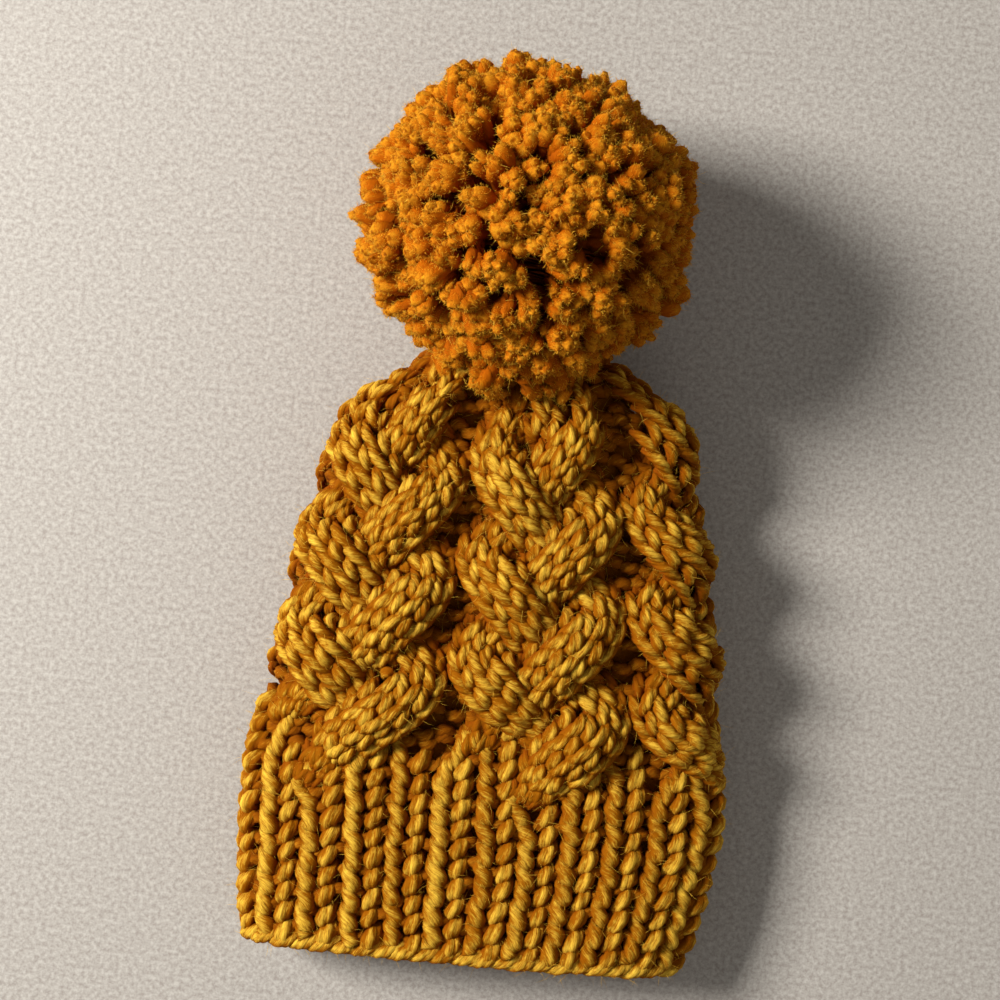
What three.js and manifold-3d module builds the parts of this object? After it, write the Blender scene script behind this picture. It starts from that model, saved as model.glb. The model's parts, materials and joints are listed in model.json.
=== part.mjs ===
// Pom pom beanie, lying flat on its back: brim towards -Y, pom towards +Y, +Z up. Millimetres.
// Stations are measured along the hat's axis from the cast-on edge towards the pom.
import * as THREE from 'three';
import { mergeVertices } from 'three/addons/utils/BufferGeometryUtils.js';
import Module from 'manifold-3d';

const GAP = 0.3;

// Knitted tube: station, half width, half height, height of the centre line.
const BAND_OUTLINE = [
  [0, 86, 20.5, 22], [12, 89, 22, 22], [40, 92.5, 22, 22], [70, 92, 22, 22], [84, 89, 21, 22.5],
];
const BODY_OUTLINE = [
  [84.3, 85, 17, 24], [98, 80, 17, 25], [115, 78, 17.5, 25.5], [150, 75, 18, 26], [175, 70, 18, 26],
  [196, 64, 18, 27], [211, 57, 17.5, 28], [222, 47, 16, 29.5], [230, 33, 14.5, 31.5], [234, 24, 13.5, 32.5],
  [236.5, 16, 12, 33],
];
const ROUNDNESS = 2.5;
const BAND_LENGTH = 84;
const BAND_WALL = 8;
const BODY_WALL = 7;
const CROWN_START = 196;
const CROWN_END = 236.5;
const POCKET_END = 229;
const RIBS = 22;
const RIB_DEPTH = 1.7;
const PLEATS = 20;
const PLEAT_DEPTH = 1.6;
const PLEAT_START = 205;

// Three-strand plaits: five around the hat, each from the band to under the pom.
const BRAIDS = 5;
const FIRST_BRAID = 0.053;
const BRAID_START = 86;
const BRAID_END = 219;
const PLAIT_PERIOD = 114;
const PLAIT_SWING = 0.053;
const STRAND_HALF_WIDTH = 0.034;
const STRAND_HALF_HEIGHT = 5.6;
const STRAND_LIFT = 2.6;
const STRAND_BASE = -0.4;

// Cast-on edge: a chain of slanted stitches around the opening.
const EDGE_RADIUS = 4.2;
const EDGE_STITCHES = 44;

// Pom and the yarn that ties it on.
const CINCH = new THREE.Vector3(0, 242.5, 33);
const POM_CENTRE = new THREE.Vector3(0, 282, 63);
const POM_RADIUS = 60;
const TUFTS = 80;
const TUFT_HEIGHT = 4;
const TUFT_SPREAD = 0.03;
const POM_FLOOR = 0.6;
const RECESS_RADIUS = 42;
const CHANNEL_RADIUS = 9;
const CINCH_HOLE = 9;
const TIE_EYE_RADIUS = 4;
const TAIL_RADIUS = 2.6;
const TAIL_START = 4.6;
const TAIL_END = 43;
const BINDING_RADIUS = 5;
const BINDING_YARN = 2.2;
const BINDING_AT = 48.5;
const GATHER_RADIUS = 11.5;
const GATHER_YARN = 2;
const END_RADIUS = 2.2;
const END_BOW = 3;
const CROWN_YARN_FROM = new THREE.Vector3(14, 212, 22.5);
const CROWN_YARN_TO = new THREE.Vector3(34, 150, 19.4);
const EDGE_YARN_FROM = new THREE.Vector3(-62, 12, 16.8);
const EDGE_YARN_TO = new THREE.Vector3(-60, 70, 16.8);
const KNOT_DEPTH = 23;
const KNOT_RADIUS = 5.5;
const KNOT_WRAP = 2;
const NECK_RADIUS = 3;

const wasm = await Module();
wasm.setup();

const TAU = Math.PI * 2;
const SECTION_SAMPLES = 180;

// Further out than any part of the hat, for cutting boxes.
const FAR = 420;

function blendRow(table, station) {
  const last = table.length - 1;
  const k = Math.min(Math.max(table.findIndex((row) => row[0] > station), 1), last);
  const high = station >= table[last][0] ? last : k;
  const low = high - 1;
  const t = (station - table[low][0]) / (table[high][0] - table[low][0]);
  return table[low].map((value, i) => value + (table[high][i] - value) * t);
}

// Flattened oval section with its points spaced evenly by arc length.
function sectionCurve(halfWidth, halfHeight) {
  const power = 2 / ROUNDNESS;
  const points = [];
  for (let i = 0; i <= SECTION_SAMPLES; i += 1) {
    const angle = (i / SECTION_SAMPLES) * TAU;
    const s = Math.sin(angle);
    const c = Math.cos(angle);
    points.push([
      halfWidth * Math.sign(s) * Math.abs(s) ** power,
      halfHeight * Math.sign(c) * Math.abs(c) ** power,
    ]);
  }
  const lengths = [0];
  for (let i = 1; i < points.length; i += 1) {
    const step = Math.hypot(points[i][0] - points[i - 1][0], points[i][1] - points[i - 1][1]);
    lengths.push(lengths[i - 1] + step);
  }
  return { points, lengths };
}

// Point on the section at a fraction of its girth; fraction 0 is the middle of the front, on top.
function onSection(curve, fraction) {
  const { points, lengths } = curve;
  const turn = fraction - Math.floor(fraction);
  const target = turn * lengths[lengths.length - 1];
  let k = 1;
  while (k < lengths.length - 1 && lengths[k] < target) {
    k += 1;
  }
  const t = (target - lengths[k - 1]) / (lengths[k] - lengths[k - 1]);
  const x = points[k - 1][0] + (points[k][0] - points[k - 1][0]) * t;
  const z = points[k - 1][1] + (points[k][1] - points[k - 1][1]) * t;
  return [x, z];
}

// Position on a knitted tube at a station and girth fraction, pushed outward by an offset.
function onTube(table, station, fraction, offset) {
  const [, halfWidth, halfHeight, centre] = blendRow(table, station);
  const curve = sectionCurve(halfWidth, halfHeight);
  const [x, z] = onSection(curve, fraction);
  const [x1, z1] = onSection(curve, fraction + 0.002);
  const [x0, z0] = onSection(curve, fraction - 0.002);
  const size = Math.hypot(x1 - x0, z1 - z0);
  const nx = (z0 - z1) / size;
  const nz = (x1 - x0) / size;
  return new THREE.Vector3(x + nx * offset, station, centre + z + nz * offset);
}

function signedVolume(geometry) {
  const p = geometry.attributes.position;
  const index = geometry.index.array;
  const [a, b, c] = [new THREE.Vector3(), new THREE.Vector3(), new THREE.Vector3()];
  let total = 0;
  for (let i = 0; i < index.length; i += 3) {
    a.fromBufferAttribute(p, index[i]);
    b.fromBufferAttribute(p, index[i + 1]);
    c.fromBufferAttribute(p, index[i + 2]);
    total += a.dot(b.cross(c)) / 6;
  }
  return total;
}

// Closed solid facing out, ready to be cut or joined.
function solid(source) {
  source.deleteAttribute('normal');
  source.deleteAttribute('uv');
  const geometry = mergeVertices(source, 1e-4);
  const triVerts = Uint32Array.from(geometry.index.array);
  if (signedVolume(geometry) < 0) {
    for (let i = 0; i < triVerts.length; i += 3) {
      [triVerts[i], triVerts[i + 1]] = [triVerts[i + 1], triVerts[i]];
    }
  }
  const vertProperties = Float32Array.from(geometry.attributes.position.array);
  return new wasm.Manifold(new wasm.Mesh({ numProp: 3, vertProperties, triVerts }));
}

// Bends a straight cylinder into any closed tapering body; place() gives each ring point.
function loft(around, along, place) {
  const geometry = new THREE.CylinderGeometry(1, 1, 1, around, along);
  const p = geometry.attributes.position;
  const rims = [];
  for (const end of [0, 1]) {
    const middle = new THREE.Vector3();
    for (let i = 0; i < around; i += 1) {
      middle.add(place(end, i / around));
    }
    rims.push(middle.divideScalar(around));
  }
  for (let i = 0; i < p.count; i += 1) {
    const end = p.getY(i) + 0.5;
    const onAxis = Math.hypot(p.getX(i), p.getZ(i)) < 0.5;
    const turn = Math.atan2(p.getX(i), p.getZ(i)) / TAU;
    const step = Math.round(turn * around) / around;
    const v = onAxis ? rims[Math.round(end)] : place(end, step < 0 ? step + 1 : step);
    p.setXYZ(i, v.x, v.y, v.z);
  }
  return solid(geometry);
}

// Everything beyond a station and above a height, for keeping that part of a solid.
function beyond(station, height) {
  const geometry = new THREE.BoxGeometry(FAR, FAR, FAR);
  geometry.translate(0, station + FAR / 2, height + FAR / 2);
  return solid(geometry);
}

function aimed(geometry, direction, at) {
  geometry.applyQuaternion(
    new THREE.Quaternion().setFromUnitVectors(new THREE.Vector3(0, 1, 0), direction));
  geometry.translate(at.x, at.y, at.z);
  return geometry;
}

const POM_AXIS = POM_CENTRE.clone().sub(CINCH).normalize();

function alongTie(distance) {
  return CINCH.clone().addScaledVector(POM_AXIS, distance);
}

const ABOVE_SURFACE = beyond(-EDGE_RADIUS, 0);

// Brim: rope columns and bead columns of 1x1 rib, flat where the hat rests.
function ribbedBand() {
  const outer = loft(RIBS * 4, 4, (end, turn) => {
    const wave = Math.cos(turn * RIBS * TAU);
    return onTube(BAND_OUTLINE, EDGE_RADIUS + 4 + end * (BAND_LENGTH - EDGE_RADIUS - 4), turn,
      RIB_DEPTH * (0.4 + wave));
  });
  const inner = loft(RIBS * 2, 3, (end, turn) =>
    onTube(BAND_OUTLINE, EDGE_RADIUS - 2 + end * (BAND_LENGTH - EDGE_RADIUS + 8), turn, -BAND_WALL));
  return outer.subtract(inner).intersect(ABOVE_SURFACE);
}

// Rolled chain that closes the brim.
function castOnEdge() {
  const geometry = new THREE.TorusGeometry(10, 1, 6, EDGE_STITCHES * 2);
  const p = geometry.attributes.position;
  const uv = geometry.attributes.uv;
  for (let i = 0; i < p.count; i += 1) {
    const turn = uv.getX(i) % 1;
    const ring = (uv.getY(i) % 1) * TAU;
    const swell = 1 + 0.16 * Math.cos(turn * EDGE_STITCHES * TAU);
    const reach = EDGE_RADIUS * swell;
    const v = onTube(BAND_OUTLINE, EDGE_RADIUS, turn, Math.cos(ring) * reach - BAND_WALL / 2);
    p.setXYZ(i, v.x, EDGE_RADIUS - 0.9 + Math.sin(ring) * reach * 0.9, v.z);
  }
  return solid(geometry).intersect(ABOVE_SURFACE);
}

// Purl ground between the plaits, from the band to where the decreases begin.
function cableGround() {
  const rows = 5;
  const start = BODY_OUTLINE[0][0];
  const length = CROWN_START - GAP - start;
  const outer = loft(44, rows, (end, turn) => onTube(BODY_OUTLINE, start + end * length, turn, 0));
  const inner = loft(36, rows, (end, turn) =>
    onTube(BODY_OUTLINE, start - 3 + end * (length + 6), turn, -BODY_WALL));
  return outer.subtract(inner);
}

// Surface of the closed end, drawn into pleats by the gathering yarn.
function crownPoint(end, turn, extra) {
  const station = CROWN_START + end * (CROWN_END - CROWN_START);
  const drawn = Math.max(0, (station - PLEAT_START) / (CROWN_END - PLEAT_START));
  const pleat = PLEAT_DEPTH * drawn * Math.cos(turn * PLEATS * TAU);
  return onTube(BODY_OUTLINE, station, turn, pleat + extra);
}

function crown() {
  const outer = loft(PLEATS * 3, 9, (end, turn) => crownPoint(end, turn, 0));
  const inner = loft(32, 5, (end, turn) =>
    onTube(BODY_OUTLINE, CROWN_START - 2 + end * (POCKET_END - CROWN_START + 2), turn,
      -BODY_WALL));
  const hole = solid(aimed(new THREE.CylinderGeometry(CINCH_HOLE, CINCH_HOLE, 40, 16),
    new THREE.Vector3(0, 1, 0), CINCH));
  return outer.subtract(inner).subtract(hole);
}

// Solid that fills the hat out to just clear of its surface, used to seat the plaits on it.
function seat() {
  const start = BODY_OUTLINE[0][0];
  const ground = loft(44, 5, (end, turn) =>
    onTube(BODY_OUTLINE, start - 0.01 + end * (CROWN_START - start + 0.02), turn, GAP));
  const closed = loft(PLEATS * 3, 9, (end, turn) => crownPoint(end, turn, GAP));
  return ground.add(closed);
}

function plaitSwing(station, phase) {
  return PLAIT_SWING * Math.sin((station / PLAIT_PERIOD) * TAU + phase);
}

// One strand of a plait: an oval rope that swings from side to side, over and then under.
function plaitStrand(centre, phase) {
  const girth = (station) => {
    const { lengths } = sectionCurve(...blendRow(BODY_OUTLINE, station).slice(1, 3));
    return lengths[lengths.length - 1];
  };
  const taper = (station) => Math.min(1, (station - BRAID_START + 9) / 16);
  return loft(8, 20, (end, turn) => {
    const station = BRAID_START + end * (BRAID_END - BRAID_START);
    const slope = (plaitSwing(station + 1, phase) - plaitSwing(station - 1, phase)) / 2;
    const lean = Math.atan(slope * girth(station));
    const across = Math.sin(turn * TAU) * STRAND_HALF_WIDTH;
    const depth = Math.cos(turn * TAU) * STRAND_HALF_HEIGHT * taper(station);
    const lift = STRAND_BASE + STRAND_LIFT * Math.sin((2 * station / PLAIT_PERIOD) * TAU
      + 2 * phase);
    const shift = -across * girth(station) * Math.sin(lean);
    const fraction = centre + plaitSwing(station, phase) + across * Math.cos(lean);
    return onTube(BODY_OUTLINE, station, fraction, lift + depth)
      .add(new THREE.Vector3(0, shift, 0));
  });
}

function plait(number, base) {
  const centre = FIRST_BRAID + number / BRAIDS;
  const first = plaitStrand(centre, 0);
  const second = plaitStrand(centre, TAU / 3);
  const third = plaitStrand(centre, (2 * TAU) / 3);
  const bodyOnly = beyond(BODY_OUTLINE[0][0], 0);
  return first.add(second).add(third).subtract(base).intersect(bodyOnly);
}

// Directions spread evenly over a ball.
function tuftDirections() {
  const golden = Math.PI * (3 - Math.sqrt(5));
  const directions = [];
  for (let i = 0; i < TUFTS; i += 1) {
    const y = 1 - (2 * (i + 0.5)) / TUFTS;
    const r = Math.sqrt(1 - y * y);
    directions.push(new THREE.Vector3(Math.cos(golden * i) * r, y, Math.sin(golden * i) * r));
  }
  return directions;
}

// Ball of cut yarn with a hollow that the crown sits in and a channel for the tie.
function pomBall() {
  const geometry = new THREE.IcosahedronGeometry(1, 7);
  const p = geometry.attributes.position;
  const tufts = tuftDirections();
  const v = new THREE.Vector3();
  for (let i = 0; i < p.count; i += 1) {
    v.fromBufferAttribute(p, i).normalize();
    const nearest = Math.max(...tufts.map((tuft) => tuft.dot(v)));
    const swell = 2.2 * Math.sin(3 * v.x + 1) * Math.sin(2.5 * v.y) + 1.4 * Math.sin(4 * v.z);
    const reach = POM_RADIUS + swell + TUFT_HEIGHT * Math.max(0, 1 - (1 - nearest) / TUFT_SPREAD);
    v.multiplyScalar(reach).add(POM_CENTRE);
    p.setXYZ(i, v.x, v.y, v.z);
  }
  const recess = solid(aimed(new THREE.SphereGeometry(RECESS_RADIUS, 26, 16), POM_AXIS, CINCH));
  const depth = BINDING_AT + BINDING_YARN + 1;
  const channel = solid(aimed(
    new THREE.CylinderGeometry(CHANNEL_RADIUS, CHANNEL_RADIUS, depth, 16),
    POM_AXIS, alongTie(depth / 2)));
  return solid(geometry).subtract(recess).subtract(channel).intersect(beyond(0, POM_FLOOR));
}

// Loop of the tie that goes through the gathered stitches.
function tieEye() {
  return solid(aimed(new THREE.SphereGeometry(TIE_EYE_RADIUS, 14, 8), POM_AXIS, CINCH));
}

// Two tails of tie yarn twisted together, from the crown to the middle of the pom.
function tieTails() {
  const side = new THREE.Vector3(1, 0, 0);
  const up = new THREE.Vector3().crossVectors(POM_AXIS, side).normalize();
  return loft(10, 12, (end, turn) => {
    const angle = turn * TAU;
    const twist = end * TAU * 1.5;
    const lobe = 1 + 0.34 * Math.cos(2 * (angle - twist));
    return alongTie(TAIL_START + end * (TAIL_END - TAIL_START))
      .addScaledVector(side, Math.cos(angle) * TAIL_RADIUS * lobe)
      .addScaledVector(up, Math.sin(angle) * TAIL_RADIUS * lobe);
  });
}

// Yarn wound tight round the middle of the strands.
function binding() {
  const geometry = new THREE.TorusGeometry(BINDING_RADIUS, BINDING_YARN, 7, 18);
  geometry.rotateX(Math.PI / 2);
  return solid(aimed(geometry, POM_AXIS, alongTie(BINDING_AT)));
}

// Overhand knot inside the hat that stops the tie from pulling out.
function insideKnot() {
  const geometry = new THREE.SphereGeometry(KNOT_RADIUS, 14, 8);
  geometry.scale(1.25, 0.8, 1);
  geometry.translate(0, CINCH.y - KNOT_DEPTH, CINCH.z);
  const wrap = new THREE.TorusGeometry(KNOT_RADIUS, KNOT_WRAP, 6, 16);
  wrap.rotateX(0.5);
  wrap.translate(0, CINCH.y - KNOT_DEPTH, CINCH.z);
  const length = KNOT_DEPTH - TIE_EYE_RADIUS - 0.5;
  const neck = new THREE.CylinderGeometry(NECK_RADIUS, NECK_RADIUS, length, 12);
  neck.translate(0, CINCH.y - KNOT_DEPTH + length / 2, CINCH.z);
  return solid(geometry).add(solid(wrap)).add(solid(neck));
}

// Yarn drawn through the last stitches to close the crown.
function gatherYarn() {
  const geometry = new THREE.TorusGeometry(GATHER_RADIUS, GATHER_YARN, 7, 26);
  geometry.rotateX(Math.PI / 2);
  geometry.translate(0, CROWN_END + GATHER_YARN + GAP, CINCH.z);
  return solid(geometry);
}

// Loose end of yarn laid along the inside of the hat.
function yarnEnd(from, to) {
  return loft(7, 8, (end, turn) => {
    const angle = turn * TAU;
    const bow = END_BOW * Math.sin(end * TAU);
    return from.clone().lerp(to, end).add(new THREE.Vector3(
      bow + Math.cos(angle) * END_RADIUS, 0, Math.sin(angle) * END_RADIUS));
  });
}

const WOOL = { color: 0xc8871a, roughness: 0.95, metalness: 0 };
const WOOL_LIT = { color: 0xd69420, roughness: 0.95, metalness: 0 };
const WOOL_DEEP = { color: 0xb06c10, roughness: 0.95, metalness: 0 };
const POM_WOOL = { color: 0xcc7f12, roughness: 0.95, metalness: 0 };

const beanie = new THREE.Group();
beanie.name = 'pom_pom_beanie';

function put(name, body, look) {
  const cut = body.getMesh();
  const geometry = new THREE.BufferGeometry();
  geometry.setAttribute('position', new THREE.BufferAttribute(cut.vertProperties, 3));
  geometry.setIndex(new THREE.BufferAttribute(cut.triVerts, 1));
  geometry.computeVertexNormals();
  const mesh = new THREE.Mesh(geometry, new THREE.MeshStandardMaterial(look));
  mesh.name = name;
  beanie.add(mesh);
}

const hatSeat = seat();
put('cast_on_edge', castOnEdge(), WOOL_LIT);
put('ribbed_band', ribbedBand(), WOOL);
put('purl_ground', cableGround(), WOOL_DEEP);
for (let i = 0; i < BRAIDS; i += 1) {
  put(`plait_${i + 1}`, plait(i, hatSeat), WOOL_LIT);
}
put('gathered_crown', crown(), WOOL);
put('tie_eye', tieEye(), WOOL_DEEP);
put('tie_tails', tieTails(), WOOL_DEEP);
put('pom_binding', binding(), WOOL_DEEP);
put('pom_ball', pomBall(), POM_WOOL);
put('inside_knot', insideKnot(), WOOL_DEEP);
put('gather_yarn', gatherYarn(), WOOL_DEEP);
put('crown_yarn_end', yarnEnd(CROWN_YARN_FROM, CROWN_YARN_TO), WOOL_DEEP);
put('cast_on_yarn_end', yarnEnd(EDGE_YARN_FROM, EDGE_YARN_TO), WOOL_DEEP);

// The origin is at the middle of the underside.
const extent = new THREE.Box3().setFromObject(beanie);
for (const mesh of beanie.children) {
  mesh.geometry.translate(0, -(extent.min.y + extent.max.y) / 2, 0);
}

export default beanie;
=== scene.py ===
"""Bulky cable-knit beanie with a yarn pom, lying flat.

Yarn, stitches and pom are built as mesh. Lengths are in mm up to make_mesh, which scales them.
"""
import json
import math

import bpy
import numpy as np
from mathutils import Euler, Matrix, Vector


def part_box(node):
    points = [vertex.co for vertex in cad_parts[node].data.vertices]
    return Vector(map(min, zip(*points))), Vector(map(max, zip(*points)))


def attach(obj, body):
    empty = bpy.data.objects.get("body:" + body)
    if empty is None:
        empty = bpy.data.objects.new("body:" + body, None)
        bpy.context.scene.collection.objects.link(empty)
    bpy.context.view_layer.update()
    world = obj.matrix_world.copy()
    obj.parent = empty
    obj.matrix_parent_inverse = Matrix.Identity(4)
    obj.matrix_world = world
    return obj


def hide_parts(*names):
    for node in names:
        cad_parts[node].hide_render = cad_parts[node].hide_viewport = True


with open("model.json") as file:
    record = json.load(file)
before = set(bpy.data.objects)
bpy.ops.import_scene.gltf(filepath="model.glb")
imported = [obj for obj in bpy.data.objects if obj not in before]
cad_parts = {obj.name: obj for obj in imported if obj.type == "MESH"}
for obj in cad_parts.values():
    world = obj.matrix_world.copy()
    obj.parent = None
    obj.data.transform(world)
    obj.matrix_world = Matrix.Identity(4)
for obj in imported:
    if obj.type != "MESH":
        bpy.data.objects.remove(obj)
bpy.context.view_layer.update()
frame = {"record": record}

MM = 0.001
TAU = 2 * math.pi
rng = np.random.default_rng(41)

# ---------------------------------------------------------------- the hat's surface
# Station along the hat from the cast-on edge, half width, half height, height of the centre (mm).
OUTLINE = np.array([
    [-12, 84.5, 16.0, 21.5], [0, 86, 16.5, 21.5], [12, 88.7, 17, 21.5], [40, 91.2, 17, 21.5],
    [72, 90.5, 17, 21.8], [88, 87, 16.5, 22.5], [100, 82.5, 16, 24.5], [115, 79, 16, 25.5],
    [137, 76.5, 16.5, 26], [152, 74, 16.5, 26], [175, 69, 16.5, 26], [196, 63, 16.5, 27],
    [211, 56, 16, 28], [222, 46, 15, 29.5], [230, 35, 13.5, 31], [236, 25, 12, 32.5],
    [241, 18, 10, 33], [252, 12, 8, 33],
])
OUTLINE_BLUR = 4            # stations that the outline is smoothed over
ROUNDNESS = 2.5             # exponent of the cross-section; 2 would be an ellipse
SURFACE_STEPS = 720         # points round the girth
STATION_LOW, STATION_HIGH = -12.0, 252.0
STATIONS = np.arange(STATION_LOW, STATION_HIGH + 0.5, 1.0)
EDGE_INSET = 1.1            # from the end of the cast-on edge's box to station 0
EDGE_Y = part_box("cast_on_edge")[0].y / MM + EDGE_INSET
CINCH = np.array(frame["record"]["behaviour"]["joints"][0]["pos_m"]) / MM
TURN_AXIS = np.array(frame["record"]["behaviour"]["joints"][2]["axis"])

RIB_PAIRS = 23              # each is one rope and one column of beads
RIB_TOP = 84.0
ROW = 7.8                   # height of one row of knitting
WAVE, BEND = 0.9, 1.3       # slow unevenness of the fabric, up and down and from side to side
BRIM_PULL = 6.5             # how far the right side of the brim is drawn in
BRIM_PULL_END = 52.0
PRESS = 1.5                 # yarn below this height is flattened towards FLOOR_CLEAR
FLOOR_CLEAR = 0.35


def smooth_step(x):
    x = np.clip(x, 0, 1)
    return x * x * (3 - 2 * x)


def unit(v):
    return v / np.maximum(np.linalg.norm(v, axis=-1, keepdims=True), 1e-9)


def smoothed(values, reach):
    kernel = np.exp(-0.5 * (np.arange(-3 * reach, 3 * reach + 1) / reach) ** 2)
    padded = np.pad(values, 3 * reach, mode="edge")
    return np.convolve(padded, kernel / kernel.sum(), mode="valid")


def surface_grid():
    """Points, outward normals and girth on a grid of stations by girth fractions."""
    columns = [smoothed(np.interp(STATIONS, OUTLINE[:, 0], OUTLINE[:, k]), OUTLINE_BLUR)
               for k in (1, 2, 3)]
    angle = np.linspace(0, TAU, 2 * SURFACE_STEPS + 1)
    power = 2 / ROUNDNESS
    sx = np.sign(np.sin(angle)) * np.abs(np.sin(angle)) ** power
    sz = np.sign(np.cos(angle)) * np.abs(np.cos(angle)) ** power
    points = np.zeros((len(STATIONS), SURFACE_STEPS, 3))
    girth = np.zeros(len(STATIONS))
    for i, (half_width, half_height, centre) in enumerate(zip(*columns)):
        x, z = half_width * sx, half_height * sz
        arc = np.concatenate([[0], np.cumsum(np.hypot(np.diff(x), np.diff(z)))])
        even = np.linspace(0, arc[-1], SURFACE_STEPS, endpoint=False)
        points[i, :, 0] = np.interp(even, arc, x)
        points[i, :, 1] = STATIONS[i] + EDGE_Y
        points[i, :, 2] = np.interp(even, arc, z) + centre
        girth[i] = arc[-1]
    around = np.roll(points, -1, 1) - np.roll(points, 1, 1)
    normals = unit(np.cross(around, np.gradient(points, axis=0)))
    return points, normals, girth


GRID, GRID_NORMALS, GIRTH = surface_grid()


def girth_at(station):
    return np.interp(station, STATIONS, GIRTH)


def on_hat(station, turn, height):
    """Point and outward normal at a station, girth fraction and height above the surface."""
    station, turn, height = np.broadcast_arrays(
        np.asarray(station, float), np.asarray(turn, float), np.asarray(height, float))
    row = np.clip(station - STATION_LOW, 0, len(GRID) - 1.001)
    col = (turn % 1.0) * SURFACE_STEPS
    r0, c0 = row.astype(int), col.astype(int) % SURFACE_STEPS
    r1, c1 = r0 + 1, (c0 + 1) % SURFACE_STEPS
    fr, fc = (row - r0)[..., None], (col - col.astype(int))[..., None]

    def blend(grid):
        low = grid[r0, c0] * (1 - fc) + grid[r0, c1] * fc
        high = grid[r1, c0] * (1 - fc) + grid[r1, c1] * fc
        return low * (1 - fr) + high * fr

    normal = unit(blend(GRID_NORMALS))
    wave = WAVE * np.sin(station / 23 + turn * 31) * np.sin(turn * 19 + 1.3)
    point = blend(GRID) + normal * (height + wave)[..., None]
    point[..., 0] += BEND * np.sin(station / 41 + 0.8)
    pulled_in = BRIM_PULL * np.clip(1 - station / BRIM_PULL_END, 0, 1.2) ** 1.2
    point[..., 0] -= pulled_in * np.clip(point[..., 0] / GRID[0, :, 0].max(), 0, 1)
    return point, normal


def settle(points):
    """The underside is pressed flat by the surface that it lies on."""
    z = points[..., 2]
    low = FLOOR_CLEAR + (PRESS - FLOOR_CLEAR) * np.exp((z - PRESS) / (PRESS - FLOOR_CLEAR))
    points[..., 2] = np.where(z < PRESS, low, z)
    return points


# ---------------------------------------------------------------- yarn
PLIES = 4
PLY_FULLNESS = 0.6          # below 1 gives full plies with narrow grooves between them
TWIST_WAVER = 0.35          # radians that the twist runs ahead and behind
SWELLS = ((0.10, 0.8), (0.07, 1.9))     # thick and thin places: size, and radians per mm
STREAK_STRETCH = 0.30       # shader units for one mm along the yarn, so that streaks follow it
END_REACH = 0.25            # how far a yarn's closed end stands out, in radii
# painted light on a yarn's closed ends
END_PAINTED_LIGHT = 0.6
STITCH_END_SHADE = 2.6      # how late a stitch darkens towards its tucked-in ends


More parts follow.
